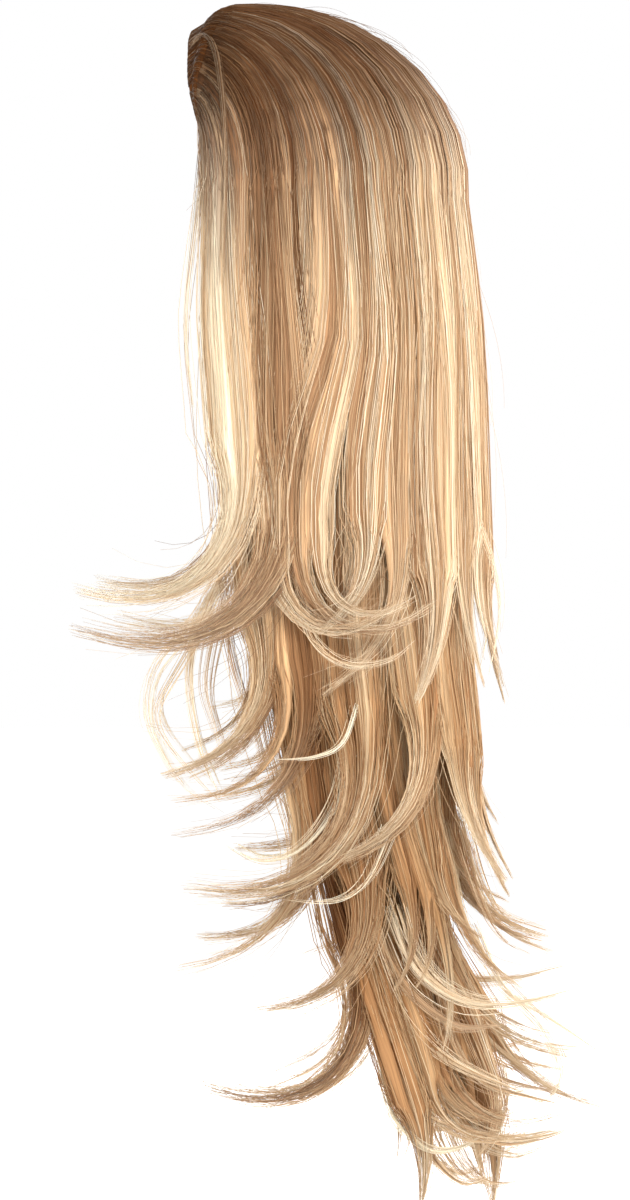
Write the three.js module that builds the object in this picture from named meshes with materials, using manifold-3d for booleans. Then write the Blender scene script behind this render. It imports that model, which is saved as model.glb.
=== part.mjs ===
// Half wig: a hollow cap with rows of long layered hair, in millimetres.
// +Z is up, the face opening looks along -Y, and the wearer's left is +X.
// The origin is inside the crown of the cap, where the top of a head sits.
import * as THREE from "three";
import { mergeVertices } from "three/addons/utils/BufferGeometryUtils.js";
import Module from "manifold-3d";

const wasm = await Module();
wasm.setup();

// Head that the cap is made for
const headWidth = 152;
const headLength = 194;
const crownHeight = 95;
const headForward = 6;

// Cap and what is sewn to it
const capWall = 1.6;
const capLean = 40;
const sewnGap = 0.35;
const rollHeight = 6.5;
const rollWidth = 4.5;
const rollEnd = 0.35;
const combGap = 1.2;
const combWidth = 62;
const combLength = 26;
const combSpine = 6;
const combThick = 1.5;
const combTeeth = 10;
const toothSlant = 0.35;
const toothGap = 0.15;

// Hair
const hairLength = 665;
const crownLift = 13;
const sideLift = 15;
const backLift = 22;
const partFan = 62;
const partBunch = 2.5;
const combBend = 0.8;
const flickLength = 100;
const puffRoot = 0.12;
const puffRise = 0.16;
const backPuff = 0.16;
const spreadRun = 0.16;
const weftTop = 0.82;
const weftBottom = 0.97;
const seamGroove = 0.42;
const innerGroove = 0.6;
const webRun = 0.05;
const webPinch = 0.44;
const rootDepth = 0.03;
const rootSwell = 0.6;
const tailSwell = 1.08;
const partedWidth = 0.75;
const tipSize = 0.07;
const tipTaper = 1.3;

// Edge of the cap: turn is measured round the cap from the front, reach is the angle from its top.
// The first and last rows repeat the other side, so that the edge is smooth at the front and back.
const capEdge = [
  { turn: -30, reach: 63 },
  { turn: 0, reach: 56 },
  { turn: 30, reach: 63 },
  { turn: 60, reach: 80 },
  { turn: 90, reach: 88 },
  { turn: 120, reach: 90 },
  { turn: 180, reach: 84 },
  { turn: 240, reach: 90 },
];

// Shape of the falling hair below the widest level of the head, outside and inside.
// fall is a share of the falling length, wide and deep are shares of the hair's half width and
// half depth at the widest level, and set moves the section back by a share of that half depth.
const fallShape = [
  { fall: 0.0, wide: 1.0, deep: 1.0, set: 0.0, innerWide: 1.0, innerDeep: 1.0 },
  { fall: 0.13, wide: 1.04, deep: 1.05, set: 0.02, innerWide: 0.92, innerDeep: 0.99 },
  { fall: 0.3, wide: 1.07, deep: 1.03, set: 0.075, innerWide: 0.8, innerDeep: 0.88 },
  { fall: 0.46, wide: 1.04, deep: 0.96, set: 0.17, innerWide: 0.74, innerDeep: 0.75 },
  { fall: 0.64, wide: 0.98, deep: 0.82, set: 0.29, innerWide: 0.66, innerDeep: 0.61 },
  { fall: 0.8, wide: 0.9, deep: 0.79, set: 0.42, innerWide: 0.54, innerDeep: 0.46 },
  { fall: 0.92, wide: 0.74, deep: 0.72, set: 0.6, innerWide: 0.38, innerDeep: 0.3 },
  { fall: 1.0, wide: 0.55, deep: 0.42, set: 0.78, innerWide: 0.2, innerDeep: 0.14 },
];

// Rows of hair. start is the share of the way over the head where the row is sewn on, settle is
// where it has risen to its place in the stack, and top and bottom are that place, from 0 at the
// outside of the hair to 1 at the cap. free is the share of the falling length where the row above
// has ended, and outer and inner are the place that it then takes. parts is where its locks come
// apart, from and to are its ends in degrees round the head, and ribs the points across a
// lock, bends the steps of its turned end, and falls the steps of the sheet below the head.
const crownRow = {
  start: 0, settle: 0.16, top: 0, bottom: 0.25, free: 0.2, outer: 0, inner: 0.25,
  parts: 0.15, from: 77, to: 283, ribs: 3, bends: 5, falls: 2,
};
const upperRow = {
  start: 0.3, settle: 0.46, top: 0.32, bottom: 0.48, free: 0.42, outer: 0.1, inner: 0.36,
  parts: 0.34, from: 78, to: 282, ribs: 2, bends: 4, falls: 2,
};
const middleRow = {
  start: 0.54, settle: 0.68, top: 0.55, bottom: 0.7, free: 0.58, outer: 0.08, inner: 0.42,
  parts: 0.5, from: 83, to: 277, ribs: 2, bends: 4, falls: 3,
};
const napeRow = {
  start: 0.75, settle: 0.88, top: 0.76, bottom: 0.89, free: 0.68, outer: 0.06, inner: 0.52,
  parts: 0.6, from: 91, to: 269, ribs: 2, bends: 4, falls: 3,
};

// Locks of each row. around is the angle round the head from the front, half the half width of
// the lock in the same degrees, leaves the share of the falling length where its end turns away,
// drift the degrees it wanders on the way, flick the length of the turned end in flickLength, turn
// the angle it turns through, and aim the way it turns to, in degrees round from the front.
const crownLocks = [
  { around: 84, half: 7.5, leaves: 0.25, drift: 0, flick: 1.5, turn: 108, aim: 8 },
  { around: 95, half: 9.5, leaves: 0.255, drift: 1, flick: 1.95, turn: 112, aim: 7 },
  { around: 110, half: 9.5, leaves: 0.36, drift: -13, flick: 1.15, turn: 120, aim: 172 },
  { around: 126, half: 10.5, leaves: 0.34, drift: -5, flick: 1.05, turn: 66, aim: 24 },
  { around: 143, half: 10.5, leaves: 0.37, drift: -4, flick: 0.8, turn: 44, aim: 60 },
  { around: 160, half: 10, leaves: 0.34, drift: -2, flick: 0.8, turn: 16, aim: 165 },
  { around: 177, half: 10, leaves: 0.38, drift: 2, flick: 0.75, turn: 16, aim: 190 },
  { around: 194, half: 10, leaves: 0.35, drift: -2, flick: 0.8, turn: 20, aim: 205 },
  { around: 211, half: 9.5, leaves: 0.38, drift: 3, flick: 0.8, turn: 44, aim: 300 },
  { around: 228, half: 10.5, leaves: 0.35, drift: 4, flick: 1.0, turn: 60, aim: 335 },
  { around: 245, half: 9.5, leaves: 0.32, drift: 8, flick: 1.15, turn: 112, aim: 192 },
  { around: 263, half: 9.5, leaves: 0.25, drift: -2, flick: 1.8, turn: 107, aim: 352 },
  { around: 276, half: 7.5, leaves: 0.24, drift: 0, flick: 1.45, turn: 104, aim: 348 },
];

const upperLocks = [
  { around: 85, half: 7.5, leaves: 0.42, drift: -1, flick: 1.15, turn: 82, aim: 4 },
  { around: 97, half: 10, leaves: 0.48, drift: -2, flick: 1.4, turn: 96, aim: 8 },
  { around: 114, half: 10, leaves: 0.51, drift: -3, flick: 1.7, turn: 104, aim: 10 },
  { around: 132, half: 10, leaves: 0.5, drift: 3, flick: 1.15, turn: 76, aim: 30 },
  { around: 151, half: 10, leaves: 0.54, drift: 2, flick: 0.85, turn: 34, aim: 150 },
  { around: 171, half: 10, leaves: 0.56, drift: -3, flick: 0.8, turn: 26, aim: 176 },
  { around: 190, half: 10, leaves: 0.53, drift: 2, flick: 0.85, turn: 28, aim: 190 },
  { around: 209, half: 10, leaves: 0.55, drift: -2, flick: 0.85, turn: 42, aim: 222 },
  { around: 228, half: 10, leaves: 0.5, drift: 3, flick: 1.15, turn: 78, aim: 330 },
  { around: 246, half: 10, leaves: 0.49, drift: -3, flick: 1.5, turn: 98, aim: 346 },
  { around: 263, half: 10, leaves: 0.46, drift: 2, flick: 1.25, turn: 92, aim: 352 },
  { around: 275, half: 7.5, leaves: 0.43, drift: 1, flick: 1.05, turn: 84, aim: 356 },
];

const middleLocks = [
  { around: 91, half: 9.5, leaves: 0.59, drift: -1, flick: 1.35, turn: 98, aim: 4 },
  { around: 108, half: 10.5, leaves: 0.66, drift: -2, flick: 1.2, turn: 92, aim: 14 },
  { around: 127, half: 10.5, leaves: 0.7, drift: 3, flick: 0.9, turn: 60, aim: 60 },
  { around: 147, half: 10.5, leaves: 0.66, drift: -2, flick: 0.9, turn: 54, aim: 140 },
  { around: 166, half: 10.5, leaves: 0.62, drift: 2, flick: 0.95, turn: 66, aim: 178 },
  { around: 185, half: 10.5, leaves: 0.66, drift: 3, flick: 0.95, turn: 60, aim: 184 },
  { around: 204, half: 10.5, leaves: 0.64, drift: -2, flick: 0.9, turn: 58, aim: 205 },
  { around: 224, half: 10.5, leaves: 0.69, drift: 2, flick: 0.9, turn: 58, aim: 260 },
  { around: 244, half: 10.5, leaves: 0.67, drift: -3, flick: 1.1, turn: 86, aim: 340 },
  { around: 264, half: 10, leaves: 0.6, drift: 2, flick: 1.3, turn: 96, aim: 352 },
];

const napeLocks = [
  { around: 98, half: 9.5, leaves: 0.74, drift: 3, flick: 1.62, turn: 122, aim: 8 },
  { around: 110, half: 10, leaves: 0.9, drift: -3, flick: 0.6, turn: 34, aim: 40 },
  { around: 124, half: 11, leaves: 0.86, drift: -4, flick: 0.95, turn: 106, aim: 166 },
  { around: 142, half: 12, leaves: 0.92, drift: 3, flick: 0.55, turn: 36, aim: 70 },
  { around: 160, half: 10.5, leaves: 0.76, drift: 2, flick: 1.15, turn: 62, aim: 174 },
  { around: 178, half: 10.5, leaves: 0.68, drift: 0, flick: 1.45, turn: 58, aim: 180 },
  { around: 197, half: 10.5, leaves: 0.81, drift: -2, flick: 0.95, turn: 56, aim: 188 },
  { around: 216, half: 10.5, leaves: 0.91, drift: 2, flick: 0.6, turn: 38, aim: 260 },
  { around: 235, half: 10, leaves: 0.83, drift: -2, flick: 0.95, turn: 94, aim: 198 },
  { around: 250, half: 9, leaves: 0.9, drift: 3, flick: 0.55, turn: 36, aim: 320 },
  { around: 262, half: 9.5, leaves: 0.76, drift: -3, flick: 1.5, turn: 114, aim: 352 },
];

// Fineness of the meshes: levels of a row over the head, and steps of the other stretches
const headLevels = [0, 0.05, 0.13, 0.28, 0.43, 0.6, 0.8, 1];
const levelGap = 0.04;
const tailSteps = 2;
const bendPieces = 8;
const lockSides = 6;
const capAcross = 24;
const capDown = 7;
const rollSteps = 14;

const headMiddle = new THREE.Vector3(0, -headForward, -crownHeight);
const headHalf = new THREE.Vector3(headWidth / 2, headLength / 2, crownHeight);
const hairLift = new THREE.Vector3(sideLift, backLift, crownLift);
const fallLength = hairLength - crownLift - crownHeight;
const hairGap = capWall + sewnGap;

const mix = (a, b, share) => a + (b - a) * share;
const ease = (share) => share * share * (3 - 2 * share);
const clamp = (value, low, high) => Math.min(Math.max(value, low), high);
const wrap = (angle) => THREE.MathUtils.degToRad(angle);

// Reads a column of a table at any place between its rows, on a smooth curve
function read(table, by, at, column) {
  let row = 0;
  while (row < table.length - 2 && at > table[row + 1][by]) row += 1;
  const last = table.length - 1;
  const slope = (i) => {
    const before = table[Math.max(i - 1, 0)];
    const after = table[Math.min(i + 1, last)];
    return (after[column] - before[column]) / (after[by] - before[by]);
  };
  const step = table[row + 1][by] - table[row][by];
  const share = clamp((at - table[row][by]) / step, 0, 1);
  const square = share * share;
  const cube = square * share;
  return (
    (2 * cube - 3 * square + 1) * table[row][column] +
    (cube - 2 * square + share) * step * slope(row) +
    (3 * square - 2 * cube) * table[row + 1][column] +
    (cube - square) * step * slope(row + 1)
  );
}

// Direction from the middle of the head, turn degrees round the cap and reach degrees from its top
function capWay(turn, reach) {
  const lean = wrap(capLean);
  const top = new THREE.Vector3(0, Math.sin(lean), Math.cos(lean));
  const front = new THREE.Vector3(0, -Math.cos(lean), Math.sin(lean));
  const side = new THREE.Vector3(1, 0, 0);
  const out = front.multiplyScalar(Math.cos(wrap(turn))).addScaledVector(side, Math.sin(wrap(turn)));
  return out.multiplyScalar(Math.sin(wrap(reach))).addScaledVector(top, Math.cos(wrap(reach)));
}

// Point a given height above the head in one direction
function overHead(way, height) {
  const half = headHalf.clone().addScalar(height);
  return way.clone().multiply(half).add(headMiddle);
}

const edgeReach = (turn) => read(capEdge, "turn", Math.abs(turn), "reach");

// Faces between rings of the same number of points
function walls(rings) {
  const sides = rings[0].length;
  const faces = [];
  for (let i = 0; i < rings.length - 1; i += 1) {
    for (let j = 0; j < sides; j += 1) {
      const a = i * sides + j;
      const b = i * sides + ((j + 1) % sides);
      faces.push(a, b, b + sides, a, b + sides, a + sides);
    }
  }
  return faces;
}

// Closed mesh over rings, with a point in the middle of each end
function tube(rings) {
  const sides = rings[0].length;
  const points = rings.flat();
  const faces = walls(rings);
  const first = points.length;
  const lastRing = (rings.length - 1) * sides;
  points.push(middleOf(rings[0]), middleOf(rings[rings.length - 1]));
  for (let j = 0; j < sides; j += 1) {
    const next = (j + 1) % sides;
    faces.push(first, next, j);
    faces.push(first + 1, lastRing + j, lastRing + next);
  }
  return geometryOf(points, faces);
}

// Closed mesh over rings that run out along one side of a sheet and back along the other
function sheet(rings) {
  const sides = rings[0].length;
  const faces = walls(rings);
  const lastRing = (rings.length - 1) * sides;
  for (let j = 0; j < sides / 2 - 1; j += 1) {
    const back = sides - 1 - j;
    faces.push(j + 1, j, back, j + 1, back, back - 1);
    faces.push(lastRing + j, lastRing + j + 1, lastRing + back);
    faces.push(lastRing + j + 1, lastRing + back - 1, lastRing + back);
  }
  return geometryOf(rings.flat(), faces);
}

function geometryOf(points, faces) {
  const geometry = new THREE.BufferGeometry();
  geometry.setAttribute("position", new THREE.Float32BufferAttribute(points.flatMap((p) => p.toArray()), 3));
  geometry.setIndex(faces);
  return geometry;
}

// Solid of a closed geometry, turned the right way out
function solidOf(geometry) {
  const bare = geometry.clone();
  bare.deleteAttribute("normal");
  bare.deleteAttribute("uv");
  const merged = mergeVertices(bare);
  const vertProperties = new Float32Array(merged.attributes.position.array);
  const triVerts = new Uint32Array(merged.index.array);
  const solid = new wasm.Manifold(new wasm.Mesh({ numProp: 3, vertProperties, triVerts }));
  if (solid.volume() > 0) return solid;
  const turned = triVerts.slice();
  for (let i = 0; i < turned.length; i += 3) {
    [turned[i + 1], turned[i + 2]] = [turned[i + 2], turned[i + 1]];
  }
  return new wasm.Manifold(new wasm.Mesh({ numProp: 3, vertProperties, triVerts: turned }));
}

const fused = (solids) => solids.reduce((whole, solid) => whole.add(solid));

function meshOf(name, solid, look) {
  const { vertProperties, triVerts } = solid.getMesh();
  const geometry = new THREE.BufferGeometry();
  geometry.setAttribute("position", new THREE.BufferAttribute(vertProperties, 3));
  geometry.setIndex(new THREE.BufferAttribute(triVerts, 1));
  geometry.computeVertexNormals();
  const mesh = new THREE.Mesh(geometry, new THREE.MeshStandardMaterial(look));
  mesh.name = name;
  return mesh;
}

// Cap: a shell between two grids that meet along its edge
function capSolid() {
  const points = [];
  const faces = [];
  const heights = [0, capWall];
  for (const height of heights) {
    points.push(overHead(capWay(0, 0), height));
    for (let i = 1; i <= capDown; i += 1) {
      for (let j = 0; j < capAcross; j += 1) {
        const turn = (360 * j) / capAcross;
        const reach = (edgeReach(turn > 180 ? turn - 360 : turn) * i) / capDown;
        points.push(overHead(capWay(turn, reach), height));
      }
    }
  }
  const layer = 1 + capDown * capAcross;
  const at = (side, i, j) => side * layer + (i === 0 ? 0 : 1 + (i - 1) * capAcross + (j % capAcross));
  for (let j = 0; j < capAcross; j += 1) {
    faces.push(at(0, 0, j), at(0, 1, j), at(0, 1, j + 1));
    faces.push(at(1, 0, j), at(1, 1, j + 1), at(1, 1, j));
    for (let i = 1; i < capDown; i += 1) {
      faces.push(at(0, i, j), at(0, i + 1, j), at(0, i + 1, j + 1));
      faces.push(at(0, i, j), at(0, i + 1, j + 1), at(0, i, j + 1));
      faces.push(at(1, i, j), at(1, i + 1, j + 1), at(1, i + 1, j));
      faces.push(at(1, i, j), at(1, i, j + 1), at(1, i + 1, j + 1));
    }
    faces.push(at(0, capDown, j), at(1, capDown, j), at(1, capDown, j + 1));
    faces.push(at(0, capDown, j), at(1, capDown, j + 1), at(0, capDown, j + 1));
  }
  return solidOf(geometryOf(points, faces));
}

const spread = (from, to, steps) =>
  Array.from({ length: steps + 1 }, (_, i) => mix(from, to, i / steps));

const onHead = (length) => THREE.MathUtils.radToDeg(length / crownHeight);

// Roll of hair wrapped over the cap's front edge, from temple to temple, thinner at its ends
function frontRollSolid() {
  const rings = spread(-1, 1, rollSteps).map((place) => {
    const turn = place * partFan;
    const size = mix(1, rollEnd, place ** 4);
    const wide = onHead(rollWidth * size) / 2;
    const middle = edgeReach(turn) + onHead(sewnGap) + wide;
    const half = (rollHeight * size) / 2;
    return Array.from({ length: lockSides }, (_, i) => {
      const angle = wrap((360 * i) / lockSides);
      const reach = middle + wide * Math.cos(angle);
      return overHead(capWay(turn, reach), sewnGap + half + half * Math.sin(angle));
    });
  });
  return solidOf(tube(rings));
}

// Comb under the front edge: a flat outline with teeth that point back, bent to the head
function combSolid() {
  const pitch = combWidth / combTeeth;
  const outline = new THREE.Shape();
  outline.moveTo(-combWidth / 2, 0);
  for (let i = 1; i <= combTeeth; i += 1) outline.lineTo(-combWidth / 2 + pitch * i, 0);
  for (let i = combTeeth - 1; i >= 0; i -= 1) {
    const left = -combWidth / 2 + pitch * i;
    outline.lineTo(left + pitch, combSpine);
    outline.lineTo(left + pitch * (1 - toothSlant), combLength);
    outline.lineTo(left + pitch * toothSlant, combLength);
    outline.lineTo(left + pitch * toothGap, combSpine);
  }
  outline.lineTo(-combWidth / 2, combSpine);
  const comb = new THREE.ExtrudeGeometry(outline, { depth: combThick, steps: 1, bevelEnabled: false });
  const places = comb.attributes.position;
  const radius = (headWidth / 2) * Math.sin(wrap(edgeReach(0)));
  for (let i = 0; i < places.count; i += 1) {
    const turn = THREE.MathUtils.radToDeg(places.getX(i) / radius);
    const reach = edgeReach(turn) - onHead(places.getY(i));
    const point = overHead(capWay(turn, reach), -combGap - places.getZ(i));
    places.setXYZ(i, point.x, point.y, point.z);
  }
  return solidOf(comb);
}

// Way over the head at one angle round it, from the front edge to where it hangs straight down
function combedWay(around, travel) {
  const side = around > 180 ? -1 : 1;
  const angle = side > 0 ? around : 360 - around;
  const backness = clamp((angle - crownRow.from) / (180 - crownRow.from), 0, 1);
  const rootTurn = side * partFan * (1 - backness) ** partBunch;
  const root = capWay(rootTurn, edgeReach(rootTurn));
  const end = new THREE.Vector3(side * Math.sin(wrap(angle)), -Math.cos(wrap(angle)), 0);
  const rise = Math.asin(root.z) * combBend;
  const bend = end.clone().multiplyScalar(Math.cos(rise));
  bend.z = Math.sin(rise);
  const left = 1 - travel;
  const way = root.multiplyScalar(left * left);
  way.addScaledVector(bend, 2 * left * travel).addScaledVector(end, travel * travel);
  return way.normalize();
}

// Point in the stack of hair: run goes from 0 at the front edge over 1 at the widest level of the
// head to 2 at the lowest tips, and depth from 0 at the outside to 1 at the cap
function hairPoint(around, run, depth) {
  if (run <= 1) {
    const way = combedWay(around, run);
    const puff = mix(puffRoot, 1, Math.sin(wrap(90 * clamp(run / puffRise, 0, 1))));
    const full = 1 + backPuff * 2 * way.z * Math.max(way.y, 0);
    const lift = hairLift.clone().multiplyScalar((1 - depth) * puff * full);
    const half = headHalf.clone().addScalar(hairGap).add(lift);
    return way.multiply(half).add(headMiddle);
  }
  const fall = run - 1;
  const wide = headHalf.x + hairGap;
  const deep = headHalf.y + hairGap;
  const set = (deep + backLift) * read(fallShape, "fall", fall, "set");
  const outerWide = (wide + sideLift) * read(fallShape, "fall", fall, "wide");
  const outerDeep = (deep + backLift) * read(fallShape, "fall", fall, "deep");
  const innerWide = wide * read(fallShape, "fall", fall, "innerWide");
  const innerDeep = deep * read(fallShape, "fall", fall, "innerDeep");
  return new THREE.Vector3(
    Math.sin(wrap(around)) * mix(outerWide, innerWide, depth),
    headMiddle.y + set - Math.cos(wrap(around)) * mix(outerDeep, innerDeep, depth),
    headMiddle.z - fall * fallLength,
  );
}

// Place of a row in the stack of hair at one stage of its run: it starts as a thin weft on the
// cap, rises to its place, and spreads outwards once the row above has ended
function stack(row, run) {
  const risen = ease(clamp((run - row.start) / (row.settle - row.start), 0, 1));
  const freed = ease(clamp((run - 1 - row.free) / spreadRun, 0, 1));
  return {
    top: mix(mix(weftTop, row.top, risen), row.outer, freed),
    bottom: mix(mix(weftBottom, row.bottom, risen), row.inner, freed),
  };
}

// Angles round the head where the locks of a row meet, with both ends of the row
function seams(row, locks) {
  const inner = locks.slice(1).map((lock, i) => (lock.around + locks[i].around) / 2);
  return [row.from, ...inner, row.to];
}

// Upper part of a row, where its locks lie against each other: one ribbed sheet
function sheetSolid(row, locks) {
  const edges = seams(row, locks);
  const columns = [];
  locks.forEach((lock, k) => {
    for (let i = 0; i < row.ribs; i += 1) {
      const share = i / row.ribs;
      columns.push({ around: mix(edges[k], edges[k + 1], share), groove: i === 0 ? seamGroove : 0 });
    }
  });
  columns.push({ around: row.to, groove: seamGroove });
  const levels = headLevels.filter((level) => level > row.start + levelGap);
  const parted = 1 + row.parts;
  const runs = [row.start, ...levels, ...spread(1, parted, row.falls).slice(1), parted + webRun];
  const rings = runs.map((run, i) => {
    const { top, bottom } = stack(row, run);
    const pinch = i === runs.length - 1 ? webPinch : 0;
    const outer = columns.map(({ around, groove }) =>
      hairPoint(around, run, mix(top, bottom, Math.max(groove, pinch))));
    const inner = columns.map(({ around, groove }) =>
      hairPoint(around, run, mix(bottom, top, Math.max(groove * innerGroove, pinch))));
    return [...outer, ...inner.reverse()];
  });
  return solidOf(sheet(rings));
}

// One ring of a lock where it lies in the stack of hair
function lyingRing(row, lock, run, swell) {
  const parted = clamp((run - 1 - row.parts) / (lock.leaves - row.parts), 0, 1);
  const middle = lock.around + lock.drift * ease(parted);
  const half = lock.half * mix(1, partedWidth, ease(parted)) * swell;
  const { top, bottom } = stack(row, run);
  const thick = ((bottom - top) / 2) * swell;
  return Array.from({ length: lockSides }, (_, i) => {
    const angle = (2 * Math.PI * i) / lockSides;
    const depth = (top + bottom) / 2 - Math.sin(angle) * thick;
    return hairPoint(middle + Math.cos(angle) * half, run, depth);
  });
}

const middleOf = (ring) =>
  ring.reduce((sum, p) => sum.add(p), new THREE.Vector3()).divideScalar(ring.length);

// Turned end of a lock: its last lying ring is carried along a curve and thinned to a tip
function flickRings(row, lock, before, ring) {
  const centre = middleOf(ring);
  const ahead = centre.clone().sub(middleOf(before)).normalize();
  const aim = new THREE.Vector3(Math.sin(wrap(lock.aim)), -Math.cos(wrap(lock.aim)), 0);
  aim.addScaledVector(ahead, -aim.dot(ahead)).normalize();
  const axis = ahead.clone().cross(aim);
  const length = lock.flick * flickLength;
  const rings = [];
  const pieces = row.bends * bendPieces;
  const place = centre.clone();
  for (let i = 1; i <= pieces; i += 1) {
    const share = i / pieces;
    const turned = wrap(lock.turn) * ease((i - 0.5) / pieces);
    place.addScaledVector(ahead, (Math.cos(turned) * length) / pieces);
    place.addScaledVector(aim, (Math.sin(turned) * length) / pieces);
    if (i % (pieces / row.bends) === 0) {
      const swing = wrap(lock.turn) * ease(share);
      const thin = mix(1, tipSize, share ** tipTaper);
      rings.push(ring.map((p) => p.clone().sub(centre).applyAxisAngle(axis, swing).multiplyScalar(thin).add(place)));
    }
  }
  return rings;
}

// Lower part of a lock, from inside the sheet down to its tip
function tailSolid(row, lock) {
  const runs = spread(1 + row.parts, 1 + lock.leaves, tailSteps);
  const hidden = lyingRing(row, lock, 1 + row.parts - rootDepth, rootSwell);
  const rings = [hidden, ...runs.map((run) => lyingRing(row, lock, run, tailSwell))];
  const last = rings.length - 1;
  rings.push(...flickRings(row, lock, rings[last - 1], rings[last]));
  return solidOf(tube(rings));
}

const hairRow = (row, locks) =>
  fused([sheetSolid(row, locks), ...locks.map((lock) => tailSolid(row, lock))]);

const capLook = { color: 0x3a2a1e, roughness: 0.95, metalness: 0 };
const combLook = { color: 0x4a3420, roughness: 0.45, metalness: 0 };
const hairLook = (color) => ({ color, roughness: 0.5, metalness: 0 });

const wig = new THREE.Group();
wig.add(
  meshOf("cap", capSolid(), capLook),
  meshOf("front_roll", frontRollSolid(), hairLook(0x7a5a40)),
  meshOf("front_comb", combSolid(), combLook),
  meshOf("crown_layer", hairRow(crownRow, crownLocks), hairLook(0xc9a276)),
  meshOf("upper_layer", hairRow(upperRow, upperLocks), hairLook(0xc09768)),
  meshOf("middle_layer", hairRow(middleRow, middleLocks), hairLook(0xb98d5e)),
  meshOf("nape_layer", hairRow(napeRow, napeLocks), hairLook(0xb08354)),
);

export default wig;
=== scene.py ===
import math

import bpy
import numpy as np
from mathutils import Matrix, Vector


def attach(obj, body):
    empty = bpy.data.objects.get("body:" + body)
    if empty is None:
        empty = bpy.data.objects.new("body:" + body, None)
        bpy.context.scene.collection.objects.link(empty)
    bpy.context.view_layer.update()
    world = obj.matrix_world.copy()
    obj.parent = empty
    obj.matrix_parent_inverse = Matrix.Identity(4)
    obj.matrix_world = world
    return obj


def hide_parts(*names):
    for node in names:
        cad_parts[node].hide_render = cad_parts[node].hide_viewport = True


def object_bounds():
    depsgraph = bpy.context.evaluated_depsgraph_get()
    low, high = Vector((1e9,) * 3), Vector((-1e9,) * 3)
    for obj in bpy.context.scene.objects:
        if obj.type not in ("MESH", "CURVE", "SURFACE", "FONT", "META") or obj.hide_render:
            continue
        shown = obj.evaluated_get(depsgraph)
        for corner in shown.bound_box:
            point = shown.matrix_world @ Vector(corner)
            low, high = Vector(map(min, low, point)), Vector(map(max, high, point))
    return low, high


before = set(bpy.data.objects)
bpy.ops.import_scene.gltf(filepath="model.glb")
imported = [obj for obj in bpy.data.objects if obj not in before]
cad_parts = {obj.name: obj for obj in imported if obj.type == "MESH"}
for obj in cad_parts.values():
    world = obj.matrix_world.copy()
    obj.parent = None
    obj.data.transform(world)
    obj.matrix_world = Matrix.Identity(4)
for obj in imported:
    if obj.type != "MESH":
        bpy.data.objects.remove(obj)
cad_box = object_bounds()
rng = np.random.default_rng(7)


def table(columns, rows):
    """Rows of a table as dictionaries, by the names of its columns."""
    return [dict(zip(columns.split(), row)) for row in rows]


# Sizes of the part, in metres, degrees and shares
HEAD_HALF = np.array([0.076, 0.097, 0.095])
HEAD_MIDDLE = np.array([0.0, -0.006, -0.095])
CAP_WALL = 0.0016
CAP_LEAN = math.radians(40)
SEWN_GAP = 0.00035
HAIR_GAP = CAP_WALL + SEWN_GAP
HAIR_LIFT = np.array([0.015, 0.022, 0.013])
HAIR_LENGTH = 0.665
FALL_LENGTH = HAIR_LENGTH - HAIR_LIFT[2] - HEAD_HALF[2]
ROLL_HEIGHT = 0.0065
ROLL_WIDTH = 0.0045
ROLL_END = 0.35
PART_FAN = 62
PART_BUNCH = 2.5
COMB_BEND = 0.8
FLICK_UNIT = 0.1
PUFF_ROOT = 0.12
PUFF_RISE = 0.16
BACK_PUFF = 0.16
SPREAD_RUN = 0.16
HEAD_RUN = 0.36
FALL_NEED = 0.5
WEFT_TOP = 0.82
WEFT_BOTTOM = 0.97
PART_LEAD = 0.06
PART_LEAST = 0.14
LOOSEN_LEAD = 0.09
LOOSEN_RUN = 0.16
TAIL_WIDTH = 0.85
EDGE_LEAST = 0.04

# Edge of the cap: turn round it from the front and reach from its top, in degrees
CAP_EDGE = table("turn reach", [
    (-30, 63), (0, 56), (30, 63), (60, 80), (90, 88), (120, 90), (180, 84), (240, 90),
])

# Falling hair below the widest level of the head, as shares of its size there
FALL_SHAPE = table("fall wide deep set inner_wide inner_deep", [
    (0.0, 1.0, 1.0, 0.0, 1.0, 1.0),
    (0.13, 1.04, 1.05, 0.02, 0.92, 0.99),
    (0.3, 1.07, 1.03, 0.075, 0.8, 0.88),
    (0.46, 1.04, 0.96, 0.17, 0.74, 0.75),
    (0.64, 0.98, 0.82, 0.29, 0.66, 0.61),
    (0.8, 0.9, 0.79, 0.42, 0.54, 0.46),
    (0.92, 0.74, 0.72, 0.6, 0.38, 0.3),
    (1.0, 0.55, 0.42, 0.78, 0.2, 0.14),
])

# Rows of hair, from the outside in. seen is where the row comes out from under the one above it.
# The under rows are darker by their share of light: painted shade from the rows that lie over them.
ROWS = {
    "crown_layer": dict(start=0.0, settle=0.16, top=0.0, bottom=0.25, free=0.2, outer=0.0,
        inner=0.25, parts=0.15, begin=77, end=283, seen=0.0, inmost=-0.5, under_light=1.0,
        sides=8, strands=172, clump_steps=(30, 8), strand_steps=(18, 8)),
    "upper_layer": dict(start=0.3, settle=0.46, top=0.32, bottom=0.48, free=0.42, outer=0.1,
        inner=0.36, parts=0.34, begin=78, end=282, seen=1.12, inmost=-0.6, under_light=0.82,
        sides=6, strands=150, clump_steps=(18, 8), strand_steps=(7, 8)),
    "middle_layer": dict(start=0.54, settle=0.68, top=0.55, bottom=0.7, free=0.58, outer=0.08,
        inner=0.42, parts=0.5, begin=83, end=277, seen=1.3, inmost=-0.8, under_light=0.75,
        sides=6, strands=125, clump_steps=(17, 8), strand_steps=(7, 8)),
    "nape_layer": dict(start=0.75, settle=0.88, top=0.76, bottom=0.89, free=0.68, outer=0.06,
        inner=0.52, parts=0.6, begin=91, end=269, seen=1.04, inmost=-1.1, under_light=0.74,
        sides=6, strands=125, clump_steps=(20, 8), strand_steps=(10, 8)),
}

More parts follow.
